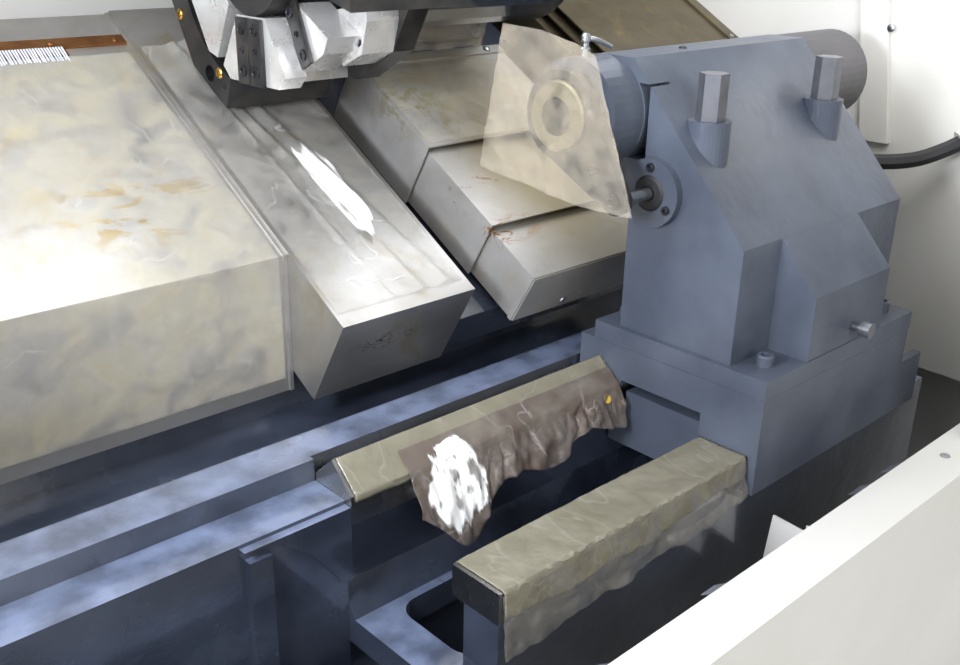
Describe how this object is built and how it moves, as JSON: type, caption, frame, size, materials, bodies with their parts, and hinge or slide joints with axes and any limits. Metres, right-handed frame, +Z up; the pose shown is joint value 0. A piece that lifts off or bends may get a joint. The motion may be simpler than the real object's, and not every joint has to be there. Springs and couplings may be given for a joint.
{
  "type": "cnc turning lathe",
  "caption": "Slant-bed turning lathe: chuck spindle, indexing turret on a cross slide with telescopic covers, tailstock on its own ways, sheet-metal casing with sliding door",
  "frame": {"origin": "on the floor below the middle of the machine's box", "axes": "+X along the spindle from the chuck to the tailstock, -Y towards the operator, +Z up"},
  "size_m": [3, 1.6092, 1.725],
  "materials": {
    "casting_blue": "satin enamel",
    "bed_navy": "gloss enamel, orange peel",
    "enclosure_white": "powder coat",
    "stainless": "brushed",
    "bright_steel": "ground",
    "black_steel": "blackened",
    "copper_strip": "dull",
    "rubber_black": "matte",
    "glass": "clear",
    "panel_grey": "fine texture",
    "signal_red": "gloss"
  },
  "bodies": {
    "frame": {"base": "casting_blue", "bed_casting": "bed_navy", "front_way": "bright_steel", "rear_way": "bright_steel", "front_rail": "bright_steel", "rear_rail": "bright_steel", "chip_pan": "casting_blue", "headstock": "casting_blue", "front_bearing": "bright_steel", "rear_bearing": "bright_steel", "spindle_motor": "casting_blue", "drive_belt": "rubber_black", "front_skirt": "enclosure_white", "left_corner_panel": "enclosure_white", "right_corner_panel": "enclosure_white", "rear_panel": "enclosure_white", "roof": "enclosure_white", "door_header": "enclosure_white", "inner_wall": "enclosure_white", "control_box": "panel_grey", "right_cover_outer": "stainless", "tail_hose": "rubber_black"},
    "spindle_unit": {"spindle": "bright_steel", "spindle_pulley": "black_steel", "chuck": "bright_steel"},
    "jaw_one": {"chuck_jaw_1": "black_steel"},
    "jaw_two": {"chuck_jaw_2": "black_steel"},
    "jaw_three": {"chuck_jaw_3": "black_steel"},
    "motor_shaft": {"motor_pulley": "black_steel"},
    "carriage": {"saddle": "bed_navy", "left_way_cover": "stainless", "joint_strip": "copper_strip", "nose_cover": "stainless", "stage_cover_lower": "stainless", "right_cover_inner": "stainless"},
    "right_cover_link": {"right_cover_middle": "stainless"},
    "cross_unit": {"cross_slide": "bed_navy", "turret_housing": "bed_navy", "stage_cover_upper": "stainless"},
    "stage_link": {"stage_cover_middle": "stainless"},
    "turret_unit": {"turret_disc": "black_steel", "tool_block_1": "bright_steel", "tool_block_2": "bright_steel", "tool_block_3": "bright_steel", "bar_holder": "bright_steel"},
    "tailstock": {"tail_sole": "casting_blue", "tail_body": "casting_blue", "tail_clamp_plate": "casting_blue", "guide_flange": "casting_blue", "adjusting_screw": "black_steel", "tail_end_cap": "casting_blue"},
    "quill_unit": {"quill": "bright_steel", "quill_arm": "black_steel", "guide_rod": "bright_steel"},
    "bolt_one": {"clamp_bolt_1": "bright_steel"},
    "bolt_two": {"clamp_bolt_2": "bright_steel"},
    "front_door": {"door_leading": "enclosure_white", "door_pane": "glass"},
    "rear_door": {"door_trailing": "enclosure_white"},
    "stop_unit": {"stop_button": "signal_red"}
  },
  "joints": [
    {"name": "spindle_spin", "type": "hinge", "parent": "frame", "child": "spindle_unit", "pos_m": [-0.5, -0.235, 1.159], "axis": [1, 0, 0], "continuous": true},
    {"name": "jaw_one_slide", "type": "slide", "parent": "spindle_unit", "child": "jaw_one", "axis": [0, 0, 1], "range_m": [-0.004, 0.004]},
    {"name": "jaw_two_slide", "type": "slide", "parent": "spindle_unit", "child": "jaw_two", "axis": [0, -0.866, -0.5], "range_m": [-0.004, 0.004]},
    {"name": "jaw_three_slide", "type": "slide", "parent": "spindle_unit", "child": "jaw_three", "axis": [0, 0.866, -0.5], "range_m": [-0.004, 0.004]},
    {"name": "motor_spin", "type": "hinge", "parent": "frame", "child": "motor_shaft", "pos_m": [-1.15, 0.1, 0.46], "axis": [1, 0, 0], "continuous": true},
    {"name": "carriage_slide", "type": "slide", "parent": "frame", "child": "carriage", "axis": [1, 0, 0], "range_m": [-0.55, 0]},
    {"name": "right_cover_slide", "type": "slide", "parent": "frame", "child": "right_cover_link", "axis": [1, 0, 0], "range_m": [-0.275, 0]},
    {"name": "cross_travel", "type": "slide", "parent": "carriage", "child": "cross_unit", "axis": [0, -0.866, -0.5], "range_m": [0, 0.2]},
    {"name": "stage_travel", "type": "slide", "parent": "carriage", "child": "stage_link", "axis": [0, -0.866, -0.5], "range_m": [0, 0.1]},
    {"name": "turret_index", "type": "hinge", "parent": "cross_unit", "child": "turret_unit", "pos_m": [0.3, 0.12224, 1.36525], "axis": [1, 0, 0], "continuous": true},
    {"name": "tailstock_travel", "type": "slide", "parent": "frame", "child": "tailstock", "axis": [1, 0, 0], "range_m": [-0.4, 0]},
    {"name": "quill_travel", "type": "slide", "parent": "tailstock", "child": "quill_unit", "axis": [-1, 0, 0], "range_m": [0, 0.06]},
    {"name": "bolt_one_turn", "type": "hinge", "parent": "tailstock", "child": "bolt_one", "pos_m": [0.712, -0.387, 1.16], "axis": [0, 0, 1], "range_deg": [0, 120]},
    {"name": "bolt_two_turn", "type": "hinge", "parent": "tailstock", "child": "bolt_two", "pos_m": [1.015, -0.387, 1.16], "axis": [0, 0, 1], "range_deg": [0, 120]},
    {"name": "door_slide", "type": "slide", "parent": "frame", "child": "front_door", "axis": [1, 0, 0], "range_m": [0, 1.55]},
    {"name": "rear_door_slide", "type": "slide", "parent": "frame", "child": "rear_door", "axis": [1, 0, 0], "range_m": [0, 0.775]},
    {"name": "stop_press", "type": "slide", "parent": "frame", "child": "stop_unit", "axis": [0, 0.9903, -0.1392], "range_m": [0, 0.0035], "stiffness_N_per_m": 400}
  ],
  "couplings": [
    {"joint": "jaw_two_slide", "follows": "jaw_one_slide", "ratio": 1},
    {"joint": "jaw_three_slide", "follows": "jaw_one_slide", "ratio": 1},
    {"joint": "motor_spin", "follows": "spindle_spin", "ratio": 1},
    {"joint": "right_cover_slide", "follows": "carriage_slide", "ratio": 0.5},
    {"joint": "stage_travel", "follows": "cross_travel", "ratio": 0.5},
    {"joint": "rear_door_slide", "follows": "door_slide", "ratio": 0.5}
  ]
}
